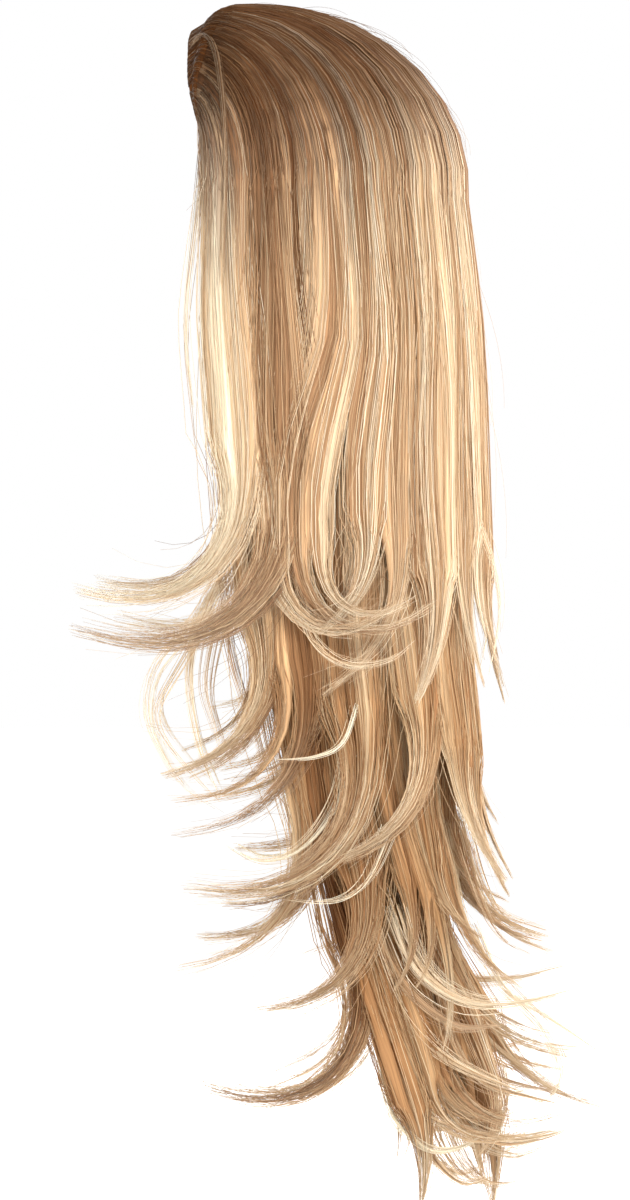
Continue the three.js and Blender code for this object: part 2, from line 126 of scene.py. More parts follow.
# Locks of each row. leaves is where the turned end begins, flick how long it is, aim its way.
LOCK_COLUMNS = "around half leaves drift flick turn aim"
LOCKS = {"crown_layer": [
    (84, 7.5, 0.25, 0, 1.5, 108, 8),
    (95, 9.5, 0.255, 1, 1.95, 112, 7),
    (110, 9.5, 0.36, -13, 1.15, 120, 172),
    (126, 10.5, 0.34, -5, 1.05, 66, 24),
    (143, 10.5, 0.37, -4, 0.8, 44, 60),
    (160, 10, 0.34, -2, 0.8, 16, 165),
    (177, 10, 0.38, 2, 0.75, 16, 190),
    (194, 10, 0.35, -2, 0.8, 20, 205),
    (211, 9.5, 0.38, 3, 0.8, 44, 300),
    (228, 10.5, 0.35, 4, 1.0, 60, 335),
    (245, 9.5, 0.32, 8, 1.15, 112, 192),
    (263, 9.5, 0.25, -2, 1.8, 107, 352),
    (276, 7.5, 0.24, 0, 1.45, 104, 348),
], "upper_layer": [
    (85, 7.5, 0.42, -1, 1.15, 82, 4),
    (97, 10, 0.48, -2, 1.4, 96, 8),
    (114, 10, 0.51, -3, 1.7, 104, 10),
    (132, 10, 0.5, 3, 1.15, 76, 30),
    (151, 10, 0.54, 2, 0.85, 34, 150),
    (171, 10, 0.56, -3, 0.8, 26, 176),
    (190, 10, 0.53, 2, 0.85, 28, 190),
    (209, 10, 0.55, -2, 0.85, 42, 222),
    (228, 10, 0.5, 3, 1.15, 78, 330),
    (246, 10, 0.49, -3, 1.5, 98, 346),
    (263, 10, 0.46, 2, 1.25, 92, 352),
    (275, 7.5, 0.43, 1, 1.05, 84, 356),
], "middle_layer": [
    (91, 9.5, 0.59, -1, 1.35, 98, 4),
    (108, 10.5, 0.66, -2, 1.2, 92, 14),
    (127, 10.5, 0.7, 3, 0.9, 60, 60),
    (147, 10.5, 0.66, -2, 0.9, 54, 140),
    (166, 10.5, 0.62, 2, 0.95, 66, 178),
    (185, 10.5, 0.66, 3, 0.95, 60, 184),
    (204, 10.5, 0.64, -2, 0.9, 58, 205),
    (224, 10.5, 0.69, 2, 0.9, 58, 260),
    (244, 10.5, 0.67, -3, 1.1, 86, 340),
    (264, 10, 0.6, 2, 1.3, 96, 352),
], "nape_layer": [
    (98, 9.5, 0.74, 3, 1.62, 122, 8),
    (110, 10, 0.9, -3, 0.6, 34, 40),
    (124, 11, 0.86, -4, 0.95, 106, 166),
    (142, 12, 0.92, 3, 0.55, 36, 70),
    (160, 10.5, 0.76, 2, 1.15, 62, 174),
    (178, 10.5, 0.68, 0, 1.45, 58, 180),
    (197, 10.5, 0.81, -2, 0.95, 56, 188),
    (216, 10.5, 0.91, 2, 0.6, 38, 260),
    (235, 10, 0.83, -2, 0.95, 94, 198),
    (250, 9, 0.9, 3, 0.55, 36, 320),
    (262, 9.5, 0.76, -3, 1.5, 114, 352),
]}

# Loose wisps of the left side, in millimetres. root is how much of the dark root's colour they have.
WISPS = table("count pale spread points root", [
    (9, 0.8, 2.2, [(66, -22, -304), (70, -40, -332), (74, -59, -354), (74, -64, -379),
        (72, -57, -399), (68, -43, -421), (62, -22, -435)]),
    (9, 0.6, 2.2, [(66, -20, -301), (69, -36, -340), (71, -50, -364), (72, -57, -379),
        (70, -53, -393), (66, -40, -410), (60, -21, -431)]),
    (12, 0.8, 2.6, [(64, -19, -301), (66, -35, -332), (67, -40, -362), (66, -36, -391),
        (64, -30, -410), (60, -20, -433)]),
    (12, 0.4, 2.6, [(64, -17, -301), (64, -27, -337), (64, -31, -364), (62, -26, -386),
        (60, -19, -410)]),
    (8, 0.25, 2.0, [(72, -22, -323), (74, -17, -351), (74, -10, -374), (72, -3, -393),
        (70, 2, -416)]),
    (22, 0.95, 3.2, [(72, 49, -402), (80, 40, -430), (86, 22, -453), (86, 0, -460),
        (82, -20, -451)]),
    (10, 0.95, 1.8, [(80, 53, -374), (88, 45, -395), (92, 30, -403), (90, 6, -405)]),
    (12, 0.8, 2.4, [(66, 71, -444), (76, 59, -470), (82, 41, -482), (80, 11, -481)]),
    (14, 0.6, 2.4, [(86, 21, -318), (94, 28, -340), (98, 46, -353), (98, 69, -351),
        (94, 84, -340)]),
    (10, 0.8, 2.2, [(24, 121, -273), (26, 130, -301), (28, 132, -329), (28, 124, -368)]),
    (18, 0.6, 2.8, [(26, 112, -438), (28, 120, -468), (32, 133, -490), (36, 160, -501)]),
    (10, 0.45, 2.0, [(30, 114, -458), (34, 123, -486), (38, 134, -505), (42, 154, -516)]),
    (44, 0.7, 5, [(60, 75, -486), (66, 87, -518), (68, 111, -537), (66, 140, -539),
        (62, 175, -531)]),
    (8, 0.8, 2.2, [(36, 119, -500), (42, 135, -533), (46, 158, -548), (48, 196, -573)]),
    (44, 0.55, 5.5, [(58, 62, -502), (60, 78, -542), (60, 104, -570), (56, 144, -589)]),
    (40, 0.5, 5.5, [(48, 94, -519), (52, 103, -558), (54, 123, -584), (52, 165, -596)]),
    (34, 0.6, 4.5, [(52, 68, -533), (56, 76, -575), (56, 94, -603), (52, 133, -614)]),
    (30, 0.95, 2.4, [(46, 66, -578), (52, 74, -604), (56, 92, -620), (54, 109, -620),
        (50, 123, -613)]),
    (30, 0.7, 4, [(36, 100, -564), (40, 109, -600), (44, 128, -615), (46, 150, -615),
        (46, 170, -610)]),
    (26, 0.6, 3.6, [(30, 103, -584), (34, 115, -615), (36, 138, -626), (38, 159, -620)]),
    (26, 0.5, 3.2, [(30, 98, -592), (34, 108, -622), (36, 124, -640), (34, 142, -640)]),
    (30, 0.5, 3.4, [(40, 72, -560), (46, 82, -598), (50, 96, -626), (50, 112, -640),
        (46, 128, -636)]),
    (34, 0.45, 4.5, [(56, 56, -470), (60, 66, -510), (62, 84, -536), (62, 108, -552),
        (58, 132, -552)]),
    (26, 0.5, 4, [(44, 112, -540), (50, 122, -566), (54, 130, -590), (54, 128, -612),
        (48, 116, -630)]),
    (8, 0.8, 1.8, [(36, 133, -533), (42, 155, -556), (44, 165, -581), (42, 156, -595),
        (38, 142, -589)]),
    (18, 0.5, 3.4, [(50, 50, -519), (54, 46, -553), (54, 31, -574), (50, 0, -589)]),
    (34, 0.5, 1.4, [(38, -37, -9.5), (42, -33.5, -6), (50, -29.5, -6), (62, -25, -14),
        (76, -22, -32), (86.5, -20, -54), (92.5, -19, -82), (95.5, -20, -116), (97, -21, -150)], 0.6),
    (8, 0.8, 2.5, [(84, -31, -66), (88, -36, -110), (92, -41, -166), (90, -36, -222)]),
])

# Fineness of what every row shares and of the other pieces
CLUMPS = 7
FLICK_FINE = 60
HEAD_SAMPLES = 20
LEAST_STEPS = (3, 4)
RIGHT_SHARE = 0.8
ROLL_STEPS = 140
ROLL_STRANDS = 500
WISP_STEPS = 16
CAP_STEPS = (96, 30)

# Tips of a lock: the flick from which it has only one, and how far several of them vary
LONG_FLICK = 1.4
TIP_VARIES = dict(size=(0.5, 1.5), leaves=(-0.03, 0.01), turn=(-0.15, 0.05), aim=(-8, 8),
                  length=(1.0, 0.7))
TIP_LOOK_BACK = 0.03

# Clumps, with places, sizes and waves as shares of the half width and half depth of their lock
CLUMP = dict(span=0.86, shift=0.05, low=-0.25, high=0.3, wide=0.33, deep=0.6, edge=1.02,
             point=0.03, end=0.15)
CLUMP_REACH = (0.5, 0.85)
WAVES = [dict(size=0.42, rate=11), dict(size=0.13, rate=26)]
WAVE_SHIFT = 3
WAVE_GROWTH = [dict(start=0.1, over=0.5, size=1.0), dict(start=0.7, over=0.4, size=1.2)]
GATHER_CURVE = 0.58
FLICK_RUN = 0.1

# Strands: radius in metres, how they lie in shares of their lock, and how their ends vary
STRAND_RADIUS = 0.00021
STRAND = dict(spread=0.16, edge=1.04, top=1.3, low=-1.15, high=1.2, widen=1.25, widen_over=0.12,
              cross=0.6, cross_from=0.9)
STRAND_WAVES = [dict(size=0.1, rate=7), dict(size=0.12, rate=6)]
STRAND_LEAVES = (-0.025, 0.012)
STRAND_START = 0.004
STRAND_STAGGER = 0.06
STRAND_THICK = (0.7, 1.25)
STRAND_TIP = 0.4
TAPER_FROM = 0.3
STRAND_CUT = 0.5
END = dict(turn=0.02, aim=1.5, point=0.01, wider=0.1, loose_turn=0.3, loose_aim=14, loose_point=0.3)
LOOSE_SHARE = 0.2
MOST_LOOSE = 0.7
CROSSING_SHARE = 0.28

# Wisps: from how many strands they have bodies inside, the form of those, and how wisps vary
THICK_WISP = 30
WISP_BODY = dict(places=(0.0, 0.8), size=0.55, flat=0.55, begin=0.4, full=0.3, end=0.01, close=0.8)
WISP_CLOSING = 0.12
WISP_THICK = (0.7, 1.2)
WISP_TIP = 0.5
WISP_CUT = 0.3
WISP_MOVED = 0.004

# Front roll: how its hair is wound, in degrees, and the runs and depths by which it goes back
ROLL_WOUND = (-110, 50)
ROLL_SIDES = 11
ROLL_SWELL = 0.92
ROLL_FLOW = (0.0016, 0.005)
ROLL_STRAND = dict(wound=(-70, 50), swell=(0.98, 1.1), turn=1.5, slant=2.5, sway=1.2,
                   begin=0.04, finish=(0.2, 0.5), rise=[(-0.12, -0.04), (-0.05, 0.03)],
                   steps=(7, 9), taper=(1.1, 0.6), thick=(0.8, 1.2))
ROLL_BACK = [
    (0.04, -0.03), (0.065, -0.03), (0.09, -0.02), (0.12, 0.0),
    (0.15, 0.1), (0.15, 0.4), (0.1, 0.6), (0.03, 0.8),
]

# Single hairs that stand off: their stages and depths in the stack of hair, and drift in degrees
FLYAWAY = dict(count=160, steps=14, begin=(0.15, 1.3), run=(0.08, 0.22), fall=(0.5, 1.0),
               depth=0.03, rise=(0.03, 0.22), drift=5, curl=3, thick=(0.55, 0.3))

# Places on a tube from which its material draws fine lines, in metres, and its strip for baking
FLOW_ROUND = (0.0035, 0.0025)
FLOW_APART = 3
FLOW_STEP = 0.012
STRIP = dict(stretch=40, begin=0.02, end=0.98, half=0.8, edge=0.1)

# Hair colours from dark to pale, as they show on a display
TONES = {
    "brown": (0.46, 0.32, 0.205),
    "copper": (0.63, 0.48, 0.345),
    "honey": (0.73, 0.585, 0.435),
    "gold": (0.83, 0.72, 0.58),
    "light": (0.90, 0.825, 0.71),
    "platinum": (0.95, 0.91, 0.81),
}
ROOT_TONE = (0.34, 0.205, 0.11)
COMB_TONE = (0.22, 0.15, 0.095)
CAP_TONE = (0.23, 0.165, 0.12)
FLOOR_TONE = (0.95, 0.95, 0.95)

# How pale the hair is round the head, from 0, brown, to 1, platinum
TONE_BANDS = table("around pale", [
    (74, 0.6), (81, 0.8), (88, 0.6), (95, 0.36), (103, 0.42), (113, 0.56), (127, 0.55), (142, 0.6),
    (157, 0.62), (175, 0.5), (195, 0.66), (215, 0.48), (235, 0.6), (255, 0.42), (272, 0.7), (286, 0.6),
])
BODY_DARKER = 0.11
CLUMP_VARIES = 0.13
STRAND_VARIES = 0.16
LIGHT_VARIES = (0.88, 1.1)
PALE_RANGE = (0.02, 0.98)

# Dark roots: the heights where they fade, how far those vary, and how the fade leans backward
ROOT_FADE = dict(begin=0.0, begin_varies=0.05, finish=-0.1, finish_varies=0.1)
ROOT_LEAN = dict(share=0.35, y=0.02, least=-0.03, most=0.08)
ROOT_VARIES = (0.7, 1.3)
ROOT_THINNER = 0.5
ROOT_LIT = 0.06

# The front edge is darker with painted shade, and turned ends are whiter and keep less of their row's
# painted shade than the hair above them
FRONT_SHADE = dict(dark=0.5, y=-0.008, deep=0.02, z=-0.075, tall=0.035)
TIP_SHADE_KEPT = 0.45
TIP_CLEARS = 1.5
TIP_WHITE = dict(start=0.2, least=0.02, more=0.25)
# How strongly the painted shade of the under rows darkens red, green and blue
SHADE_POWERS = (1, 1.5, 2.1)

# Where the under rows lie in the shade of the flicks above them
SHADOWS = table("z tall dark", [
    (-0.385, 0.032, 0.14),
    (-0.5, 0.04, 0.18),
])

# Lamps by place, width in metres and power in watts
LAMPS = table("name place size power", [
    ("key", (2.2, 0.9, 1.0), 1.0, 60),
    ("fill", (1.7, -1.4, 0.0), 1.2, 20),
    ("back", (-0.6, 2.0, 0.6), 1.0, 40),
    ("right", (-1.8, -0.9, 0.6), 1.2, 30),
])
LAMP_TARGET = np.array([0.0, 0.03, -0.3])
WORLD_LIGHT = 0.5
FLOOR_BELOW = 0.03
FLOOR_SIZE = 30
FLOOR_GLOW = 0.6

# The photo's side view: metres to a pixel, picture size, and the pixel where y and z are 0
PHOTO_SCALE = 0.00056
PHOTO_SIZE = (630, 1200)
PHOTO_ORIGIN = (262, 33)
CAMERA_DISTANCE = 3.6
CAMERA_SENSOR = 24
CAMERA_CLIP = 50


def mix(a, b, share):
    return a + (b - a) * share


def ease(share):
    share = np.clip(share, 0.0, 1.0)
    return share * share * (3 - 2 * share)


def unit(v):
    return v / np.maximum(np.linalg.norm(v, axis=-1, keepdims=True), 1e-12)


def linear(colour):
    c = np.asarray(colour, float)
    return np.where(c <= 0.04045, c / 12.92, ((c + 0.055) / 1.055) ** 2.4)


def read(rows, by, at, column):
    """Reads a column of a table at any place between its rows, on a smooth curve."""
    x = np.array([row[by] for row in rows], float)
    y = np.array([row[column] for row in rows], float)
    slope = np.gradient(y)
    slope[1:-1] = (y[2:] - y[:-2]) / (x[2:] - x[:-2])
    slope[0] = (y[1] - y[0]) / (x[1] - x[0])
    slope[-1] = (y[-1] - y[-2]) / (x[-1] - x[-2])
    at = np.clip(at, x[0], x[-1])
    row = np.clip(np.searchsorted(x, at, side="right") - 1, 0, len(x) - 2)
    step = x[row + 1] - x[row]
    t = (at - x[row]) / step
    return (
        (2 * t**3 - 3 * t**2 + 1) * y[row]
        + (t**3 - 2 * t**2 + t) * step * slope[row]
        + (3 * t**2 - 2 * t**3) * y[row + 1]
        + (t**3 - t**2) * step * slope[row + 1]
    )


def cap_way(turn, reach):
    """Directions from the middle of the head, in degrees round the cap and from its top."""
    turn, reach = np.radians(turn), np.radians(reach)
    top = np.array([0.0, math.sin(CAP_LEAN), math.cos(CAP_LEAN)])
    front = np.array([0.0, -math.cos(CAP_LEAN), math.sin(CAP_LEAN)])
    side = np.array([1.0, 0.0, 0.0])
    out = np.cos(turn)[..., None] * front + np.sin(turn)[..., None] * side
    return np.sin(reach)[..., None] * out + np.cos(reach)[..., None] * top


def edge_reach(turn):
    return read(CAP_EDGE, "turn", np.abs(turn), "reach")


def over_head(way, height):
    return way * (HEAD_HALF + np.asarray(height)[..., None]) + HEAD_MIDDLE


def turn_at(around):
    """Where on the cap's front edge the hair of one angle round the head is rooted."""
    begin = ROWS["crown_layer"]["begin"]
    angle = np.where(around > 180, 360 - around, around)
    backness = np.clip((angle - begin) / (180 - begin), 0, 1)
    return np.where(around > 180, -1, 1) * PART_FAN * (1 - backness) ** PART_BUNCH


def combed_way(around, travel):
    """Way over the head at one angle round it, from the front edge to the widest level."""
    turn = turn_at(around)
    root = cap_way(turn, edge_reach(turn))
    angle = np.radians(around)
    end = np.stack([np.sin(angle), -np.cos(angle), np.zeros_like(angle)], -1)
    rise = np.arcsin(root[..., 2]) * COMB_BEND
    bend = end * np.cos(rise)[..., None]
    bend[..., 2] = np.sin(rise)
    t = travel[..., None]
    return unit(root * (1 - t) ** 2 + bend * 2 * (1 - t) * t + end * t * t)


def hair_point(around, run, depth):
    """Points in the stack of hair: run 0 to 1 over the head and 1 to 2 down, depth 0 outside."""
    way = combed_way(around, np.clip(run, 0, 1))
    puff = mix(PUFF_ROOT, 1.0, np.sin(np.pi / 2 * np.clip(run / PUFF_RISE, 0, 1)))
    full = 1 + BACK_PUFF * 2 * way[..., 2] * np.maximum(way[..., 1], 0)
    lift = HAIR_LIFT * ((1 - depth) * puff * full)[..., None]
    on_head = way * (HEAD_HALF + HAIR_GAP + lift) + HEAD_MIDDLE
    fall = np.maximum(run - 1, 0)
    shape = {name: read(FALL_SHAPE, "fall", fall, name) for name in FALL_SHAPE[0]}
    wide = HEAD_HALF[0] + HAIR_GAP
    deep = HEAD_HALF[1] + HAIR_GAP
    outer_wide = (wide + HAIR_LIFT[0]) * shape["wide"]
    outer_deep = (deep + HAIR_LIFT[1]) * shape["deep"]
    centre = HEAD_MIDDLE[1] + (deep + HAIR_LIFT[1]) * shape["set"]
    angle = np.radians(around)
    falling = np.stack([
        np.sin(angle) * mix(outer_wide, wide * shape["inner_wide"], depth),
        centre - np.cos(angle) * mix(outer_deep, deep * shape["inner_deep"], depth),
        HEAD_MIDDLE[2] - fall * FALL_LENGTH,
    ], -1)
    return np.where((run <= 1)[..., None], on_head, falling)


def stack(row, run):
    """Place of a row in the stack of hair at one stage of its run, its outside and its inside."""
    risen = ease((run - row["start"]) / (row["settle"] - row["start"]))
    freed = ease((run - 1 - row["free"]) / SPREAD_RUN)
    top = mix(mix(WEFT_TOP, row["top"], risen), row["outer"], freed)
    bottom = mix(mix(WEFT_BOTTOM, row["bottom"], risen), row["inner"], freed)
    return top, bottom


def lying_points(row, lock, edges, u, v, run, leaves):
    """Points of strands that lie in a lock, u across it and v out of it, each from -1 to 1."""
    past = run - 1 - row["parts"]
    parting = np.maximum(leaves - row["parts"] + PART_LEAD, PART_LEAST)
    parted = ease((past + PART_LEAD) / parting)
    in_sheet = mix(edges[0], edges[1], (u + 1) / 2)
    tail_half = lock["half"] * mix(1, TAIL_WIDTH, parted)
    in_tail = lock["around"] + lock["drift"] * parted + u * tail_half
    loose = ease((past + LOOSEN_LEAD) / LOOSEN_RUN)
    around = mix(in_sheet, in_tail, loose)
    top, bottom = stack(row, run)
    round_off = mix(1.0, np.sqrt(np.clip(1 - u * u, EDGE_LEAST, 1)), loose)
    depth = (top + bottom) / 2 - v * round_off * (bottom - top) / 2
    return hair_point(around, run, depth)


def turned_ends(tips, last, share, thin):
    """Points of the turned ends: each goes on from its last point along the curve of its tip.

    share says how far along the curve each point is, and thin how near it keeps to its tip.
    """
    ahead, turn = tips["ahead"], np.radians(tips["turn"])[:, None]
    aim = np.radians(tips["aim"])
    way = np.stack([np.sin(aim), -np.cos(aim), np.zeros_like(aim)], -1)
    way = unit(way - ahead * (way * ahead).sum(-1, keepdims=True))
    axis = np.cross(ahead, way)
    middle = (np.arange(FLICK_FINE) + 0.5) / FLICK_FINE
    angle = turn * ease(middle)
    step = tips["length"][:, None] / FLICK_FINE
    at = np.minimum(share * FLICK_FINE, FLICK_FINE - 1e-6)
    low = at.astype(int)
    part = at - low
    walks = []
    for walk in (np.cos(angle) * step, np.sin(angle) * step):
        total = np.concatenate([np.zeros((len(turn), 1)), np.cumsum(walk, 1)], 1)
        before = np.take_along_axis(total, low, 1)
        after = np.take_along_axis(total, low + 1, 1)
        walks.append(mix(before, after, part)[..., None])
    path = tips["end"][:, None] + ahead[:, None] * walks[0] + way[:, None] * walks[1]
    swing = (turn * ease(share))[..., None]
    axis, offset = axis[:, None], (last - tips["end"])[:, None]
    along = axis * (axis * offset).sum(-1, keepdims=True)
    turned = along + (offset - along) * np.cos(swing) + np.cross(axis, offset) * np.sin(swing)
    return path + turned * thin[..., None]


def mesh_object(name, points, faces, colours=None, flow=None, bake=None):
    """Mesh object from vertices and equal-sided face tables, with what its material reads."""
    mesh = bpy.data.meshes.new(name)
    counts = np.concatenate([np.full(len(f), f.shape[1]) for f in faces])
    corners = np.concatenate([f.ravel() for f in faces])
    mesh.vertices.add(len(points))
    mesh.vertices.foreach_set("co", points.astype(np.float32).ravel())
    mesh.loops.add(len(corners))
    mesh.loops.foreach_set("vertex_index", corners.astype(np.int32))
    mesh.polygons.add(len(counts))
    starts = np.concatenate([[0], np.cumsum(counts)[:-1]])
    mesh.polygons.foreach_set("loop_start", starts.astype(np.int32))
    mesh.update(calc_edges=True)
    mesh.polygons.foreach_set("use_smooth", np.ones(len(counts), bool))
    if colours is not None:
        layer = mesh.color_attributes.new("tone", "FLOAT_COLOR", "POINT")
        rgba = np.concatenate([colours, np.ones((len(colours), 1))], 1)
        layer.data.foreach_set("color", rgba.astype(np.float32).ravel())
    if flow is not None:
        layer = mesh.attributes.new("flow", "FLOAT_VECTOR", "POINT")
        layer.data.foreach_set("vector", flow.astype(np.float32).ravel())
    if bake is not None:
        layer = mesh.uv_layers.new(name="OFBake")
        layer.data.foreach_set("uv", bake[corners].astype(np.float32).ravel())
    mesh.validate()
    obj = bpy.data.objects.new(name, mesh)
    bpy.context.collection.objects.link(obj)
    return obj


def tube_faces(count, steps, sides):
    """Quads of many tubes and the faces that close their ends."""
    ring = np.arange(sides)
    after = (ring + 1) % sides
    step = np.arange(steps - 1)[:, None] * sides
    quad = np.stack([step + ring, step + after, step + sides + after, step + sides + ring], -1)
    base = np.arange(count)[:, None] * steps * sides
    quads = (base[:, :, None] + quad.reshape(1, -1, 4)).reshape(-1, 4)
    first = (base + ring[::-1]).reshape(-1, sides)
    last = (base + (steps - 1) * sides + ring).reshape(-1, sides)
    return [quads, first, last]


def strip_map(count, steps, sides):
    """Map for baking: each tube is a strip of its own, with its length across the image."""
    columns = max(1, int(math.sqrt(count / STRIP["stretch"])))
    rows = math.ceil(count / columns)
    tube = np.arange(count)
    low = np.stack([(tube % columns) / columns, (tube // columns) / rows], -1)
    along = np.linspace(STRIP["begin"], STRIP["end"], steps) / columns
    across = np.abs(np.linspace(-STRIP["half"], STRIP["half"], sides)) / rows + STRIP["edge"] / rows
    places = np.empty((count, steps, sides, 2))
    places[..., 0] = low[:, None, None, 0] + along[None, :, None]
    places[..., 1] = low[:, None, None, 1] + across[None, None, :]
    return places.reshape(-1, 2)


def flow_map(angle, along):
    """Places round tubes and along them, each tube shifted, for the fine lines of their material."""
    flow = np.zeros((*along.shape, len(angle), 3))
    flow[..., 0] = np.cos(angle) * FLOW_ROUND[0]
    flow[..., 1] = np.sin(angle) * FLOW_ROUND[1]
    flow[..., 2] = along[..., None]
    flow[..., :2] += rng.uniform(0, FLOW_APART, (len(along), 1, 1, 2))
    return flow


def joined(parts):
    """One set of arrays from the sets of many parts."""
    return {key: np.concatenate([part[key] for part in parts]) for key in parts[0]}


def ring_object(name, points, colours, flow):
    """Closed tubes from their rings of points."""
    rings = points.shape[:3]
    return mesh_object(name, points.reshape(-1, 3), tube_faces(*rings), colours.reshape(-1, 3),
                       flow, strip_map(*rings))


def tubes(name, paths, radius, colours, sides=3, flat=1.0):
    """Closed tubes along many paths, three-sided for strands, flatter outward for locks."""
    count, steps = paths.shape[:2]
    ahead = unit(np.gradient(paths, axis=1))
    out = np.empty_like(paths)
    first = unit(paths[:, 0] - HEAD_MIDDLE)
    out[:, 0] = unit(first - ahead[:, 0] * (first * ahead[:, 0]).sum(-1, keepdims=True))
    for i in range(1, steps):
        carried = out[:, i - 1]
        out[:, i] = unit(carried - ahead[:, i] * (carried * ahead[:, i]).sum(-1, keepdims=True))
    side = np.cross(ahead, out)
    angle = np.pi / 2 + np.arange(sides) * 2 * np.pi / sides
    rise = out[:, :, None] * np.sin(angle)[:, None] * flat
    ring = rise + side[:, :, None] * np.cos(angle)[:, None]
    points = paths[:, :, None] + ring * radius[..., None, None]
    colours = np.repeat(colours[:, :, None], sides, 2)
    flow = None
    if sides > 3:
        along = (np.arange(steps) * FLOW_STEP)[None].repeat(count, 0)
        flow = flow_map(angle, along)
    return ring_object(name, points, colours, flow)


def toned(pale):
    """Linear hair colours from how pale the hair is, 0 for brown to 1 for platinum."""
    tones = np.array([linear(tone) for tone in TONES.values()])
    at = np.clip(pale, 0, 1) * (len(tones) - 1)
    low = np.minimum(at.astype(int), len(tones) - 2)
    return mix(tones[low], tones[low + 1], (at - low)[..., None])


def varied(pale, spread):
    return np.clip(pale + rng.normal(0, spread, np.shape(pale)), *PALE_RANGE)


def root_share(path, count):
    """How much of the dark root's colour each place has."""
    begin = ROOT_FADE["begin"] - ROOT_FADE["begin_varies"] * rng.random((count, 1))
    finish = ROOT_FADE["finish"] - ROOT_FADE["finish_varies"] * rng.random((count, 1))
    back = np.clip(path[..., 1] - ROOT_LEAN["y"], ROOT_LEAN["least"], ROOT_LEAN["most"])
    height = path[..., 2] - ROOT_LEAN["share"] * back
    rooted = 1 - ease((height - begin) / (finish - begin))
    return rooted * (1 - ROOT_THINNER * rng.random((count, 1)) ** 4)


def front_shade(path):
    """What is left of the light at the front edge, as a share."""
    near = ease((FRONT_SHADE["y"] - path[..., 1]) / FRONT_SHADE["deep"])
    high = ease((path[..., 2] - FRONT_SHADE["z"]) / FRONT_SHADE["tall"])
    return 1 - FRONT_SHADE["dark"] * near * high


def shaded(path, under_light):
    """Painted shade of an under row: its share of light, lower where it lies in the shade of the
    flicks above it.
    """
    for low in SHADOWS:
        under_light = under_light * (1 - low["dark"] * np.exp(-((path[..., 2] - low["z"]) / low["tall"]) ** 2))
    return under_light


def shade(pale, path, share, under_light=1.0, root=1.0):
    """Colour along hair: dark at the root, with the fade by height, and paler at the turned tip, with
    painted shade on the under rows and at the front edge.
    """
    count = len(pale)
    rooted = root * root_share(path, count)
    lit = toned(pale) * rng.uniform(*LIGHT_VARIES, (count, 1))
    white = TIP_WHITE["least"] + TIP_WHITE["more"] * rng.random((count, 1))
    white = ease((share - TIP_WHITE["start"]) / (1 - TIP_WHITE["start"])) * white
    # Painted shade of an under row; its turned end, out from under the rows above, keeps less of it
    if under_light < 1:
        under_light = shaded(path, under_light)
    under_lit = mix(under_light, mix(under_light, 1.0, 1 - TIP_SHADE_KEPT), ease(share * TIP_CLEARS))[..., None]
    colour = mix(lit[:, None], linear(TONES["platinum"]), white[..., None])
    colour = colour * under_lit ** np.array(SHADE_POWERS)
    dark = linear(ROOT_TONE) * rng.uniform(*ROOT_VARIES, (count, 1)) + lit * ROOT_LIT
    # Painted shade at the front edge, over the roots behind the roll
    dark = dark[:, None] * front_shade(path)[..., None]
    return mix(colour ** 0.5, dark ** 0.5, rooted[..., None]) ** 2


def one_wave(kind, down, wave):
    """A wave along hair, with the shift and the strength that each hair has of its own."""
    return kind["size"] * np.sin(down * kind["rate"] + wave[:, :1] * WAVE_SHIFT) * wave[:, 1:2]


def waves(run, wave):
    """Slow sideways waves of a clump, as shares of the half width of its lock."""
    down = np.where(run < 1, HEAD_RUN * run, HEAD_RUN + run - 1)
    grown = sum(one["size"] * ease((down - one["start"]) / one["over"]) for one in WAVE_GROWTH)
    return grown * sum(one_wave(kind, down, wave[:, 2 * i:]) for i, kind in enumerate(WAVES))


def step_counts(row, lock, total):
    """Shares out the steps of a lock's hair between its way over the head and its fall."""
    run = np.linspace(row["start"], 1, HEAD_SAMPLES)
    way = hair_point(np.full(HEAD_SAMPLES, float(lock["around"])), run, 0 * run)
    on_head = np.linalg.norm(np.diff(way, axis=0), axis=1).sum()
    falling = lock["leaves"] * FALL_LENGTH * FALL_NEED
    head = round(total * on_head / (on_head + falling))
    head = int(np.clip(head, LEAST_STEPS[0], total - LEAST_STEPS[1]))
    return head, total - head


def gathered(share, point):
    """Width of a tip along its curve as a share of its width at the start, down to a point."""
    return mix(1.0, point, np.clip(share, 0, 1) ** GATHER_CURVE)


def make_tips(row, lock, span):
    """The few tips that the hair of a lock gathers to, each with a turned end of its own."""
    count = 1 if lock["flick"] > LONG_FLICK else int(rng.integers(1, 4))
    sizes = np.cumsum(rng.uniform(*TIP_VARIES["size"], count))
    sizes = np.concatenate([[0], sizes]) / sizes[-1] * 2 - 1
    vary = count > 1
    tips = dict(
        u=(sizes[1:] + sizes[:-1]) / 2,
        leaves=lock["leaves"] + vary * rng.uniform(*TIP_VARIES["leaves"], count),
        turn=lock["turn"] * (1 + vary * rng.uniform(*TIP_VARIES["turn"], count)),
        aim=lock["aim"] + vary * rng.uniform(*TIP_VARIES["aim"], count),
        length=lock["flick"] * FLICK_UNIT * rng.permutation(np.linspace(*TIP_VARIES["length"], count)),
    )
    run = 1 + tips["leaves"][:, None] + np.array([-TIP_LOOK_BACK, 0.0])
    lying = lying_points(row, lock, span, tips["u"][:, None], 0 * run, run, tips["leaves"][:, None])
    tips["end"] = lying[:, 1]
    tips["ahead"] = unit(lying[:, 1] - lying[:, 0])
    return tips


def hair_runs(row, lock, begin, leaves, total):
    """Stages of hair from where it begins to where it leaves, over the head and then down."""
    head, fall = step_counts(row, lock, total)
    on_head = np.linspace(begin, 1, head)[None].repeat(len(leaves), 0)
    falling = 1 + leaves[:, None] * np.linspace(0, 1, fall + 1)[None, 1:]
    return np.concatenate([on_head, falling], 1)


def end_share(run, share):
    """How far along its turned end each step of the hair is, 0 where it still lies."""
    return np.concatenate([np.zeros_like(run), share[None].repeat(len(run), 0)], 1)


